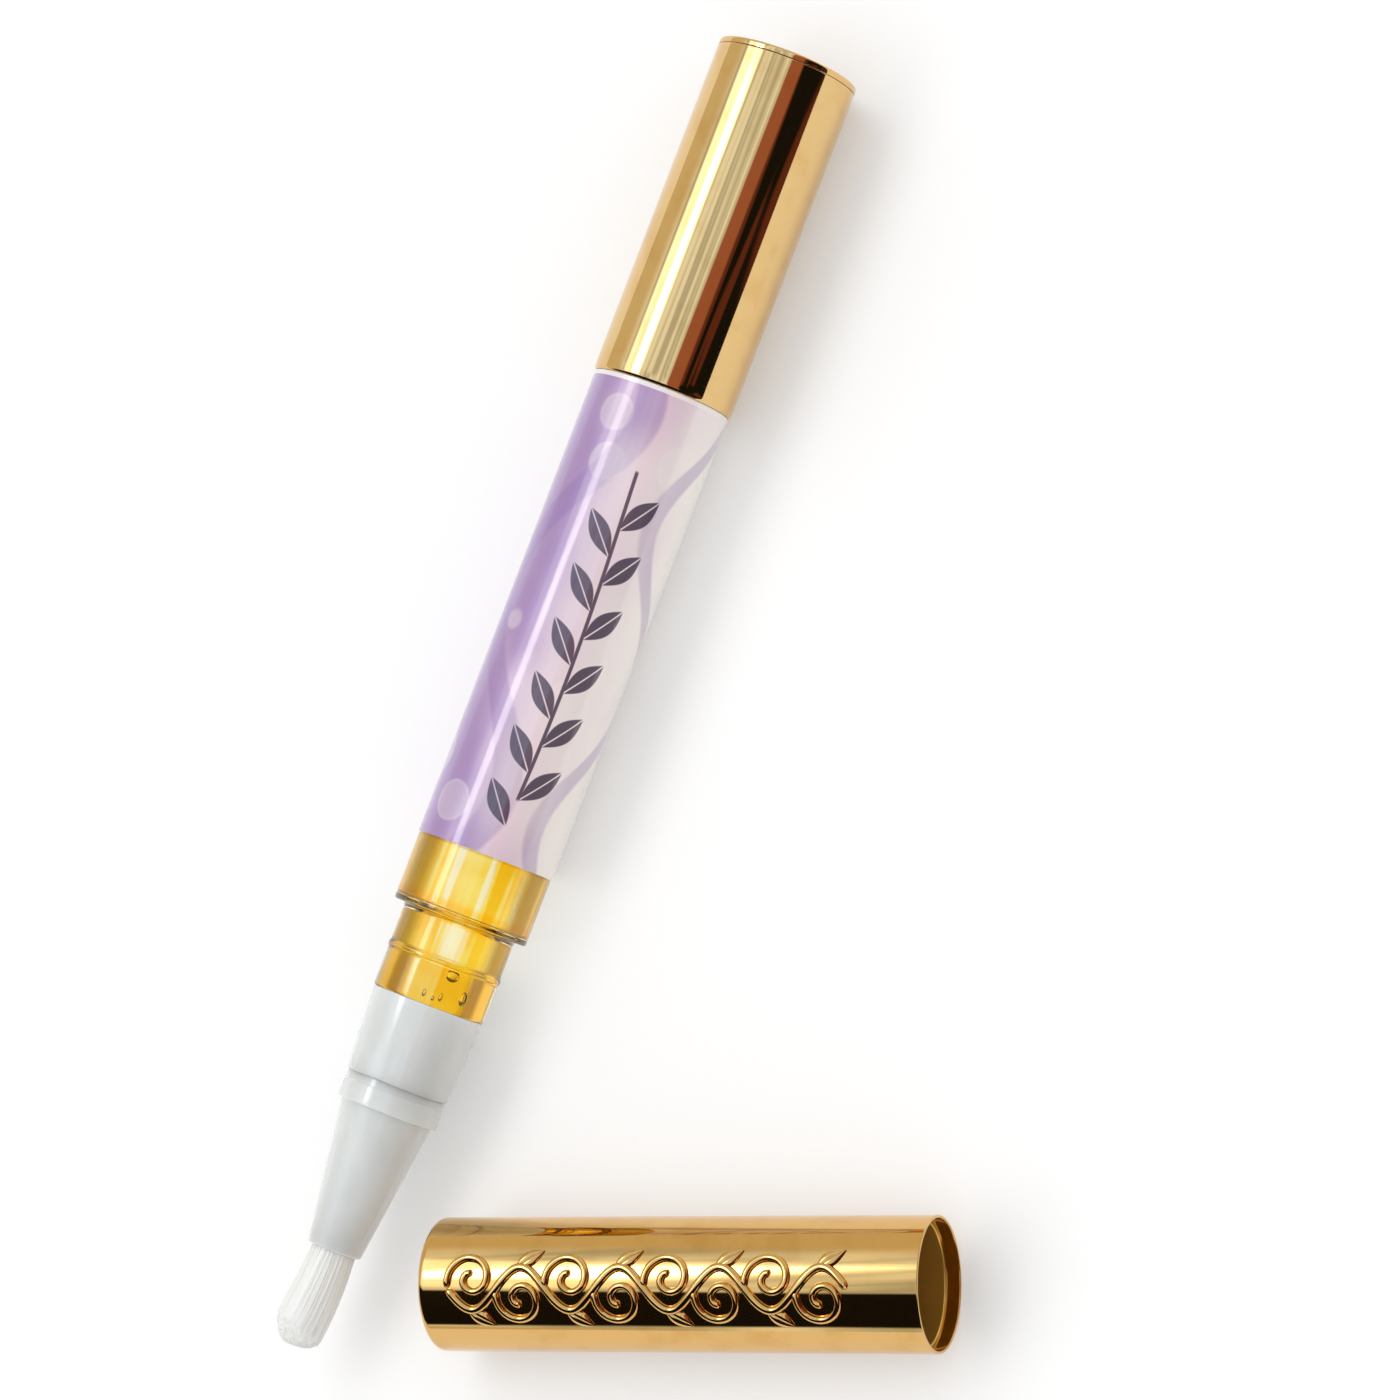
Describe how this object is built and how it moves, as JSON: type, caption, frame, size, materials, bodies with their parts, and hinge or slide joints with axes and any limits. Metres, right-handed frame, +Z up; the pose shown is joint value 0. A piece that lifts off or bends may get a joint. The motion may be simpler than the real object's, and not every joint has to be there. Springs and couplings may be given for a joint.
{
  "type": "nail oil pen",
  "caption": "Twist-up oil pen: clear neck and barrel, printed sleeve, tapered brush tip, a ratchet and screw-driven piston in a polished base, and a push-on cap lying beside it.",
  "frame": {"origin": "on the pen's axis, in the plane of the shoulder that the cap's mouth meets", "axes": "+Y along the pen's axis from the brush towards the twist base, +Z up from the surface that the pen and its cap lie on"},
  "size_m": [0.0592, 0.1162, 0.0124],
  "materials": {
    "clear_plastic": "clear",
    "label_film": "gloss",
    "oil": "clear",
    "frosted_plastic": "satin",
    "nylon_bristle": "satin",
    "inner_plastic": "satin",
    "piston_plastic": "satin",
    "seal_rubber": "matte",
    "spring_steel": "bright",
    "gold_metal": "polished",
    "liner_plastic": "gloss"
  },
  "bodies": {
    "pen": {"barrel": "clear_plastic", "label": "label_film", "oil_fill": "oil", "front_collar": "frosted_plastic", "brush_holder": "frosted_plastic", "feed_tube": "inner_plastic", "brush_root": "nylon_bristle", "brush_tuft": "nylon_bristle", "screw_nut": "inner_plastic"},
    "twist_base": {"base_shell": "gold_metal", "base_end_plug": "gold_metal", "drive_sleeve": "inner_plastic", "ratchet_ring": "inner_plastic", "click_spring": "spring_steel", "thrust_washer": "inner_plastic"},
    "plunger": {"piston": "piston_plastic", "piston_ring": "seal_rubber"},
    "screw": {"lead_screw": "inner_plastic"},
    "cap": {"cap_shell": "gold_metal", "cap_liner": "liner_plastic"}
  },
  "joints": [
    {"name": "piston_advance", "type": "slide", "parent": "pen", "child": "plunger", "axis": [0, -1, 0], "range_m": [0, 0.028], "deforming": ["oil_fill"]},
    {"name": "base_twist", "type": "hinge", "parent": "pen", "child": "twist_base", "pos_m": [0, 0.05, 0], "axis": [0, -1, 0], "range_deg": [0, 5760]},
    {"name": "screw_advance", "type": "slide", "parent": "twist_base", "child": "screw", "axis": [0, -1, 0], "range_m": [0, 0.028]},
    {"name": "cap_pull", "type": "slide", "parent": "pen", "child": "cap", "axis": [0.9373, 0.3486, 0], "range_m": [0, 0.0435]}
  ],
  "couplings": [
    {"joint": "base_twist", "follows": "piston_advance", "rad_per_m": 3590.4},
    {"joint": "screw_advance", "follows": "piston_advance", "ratio": 1}
  ]
}
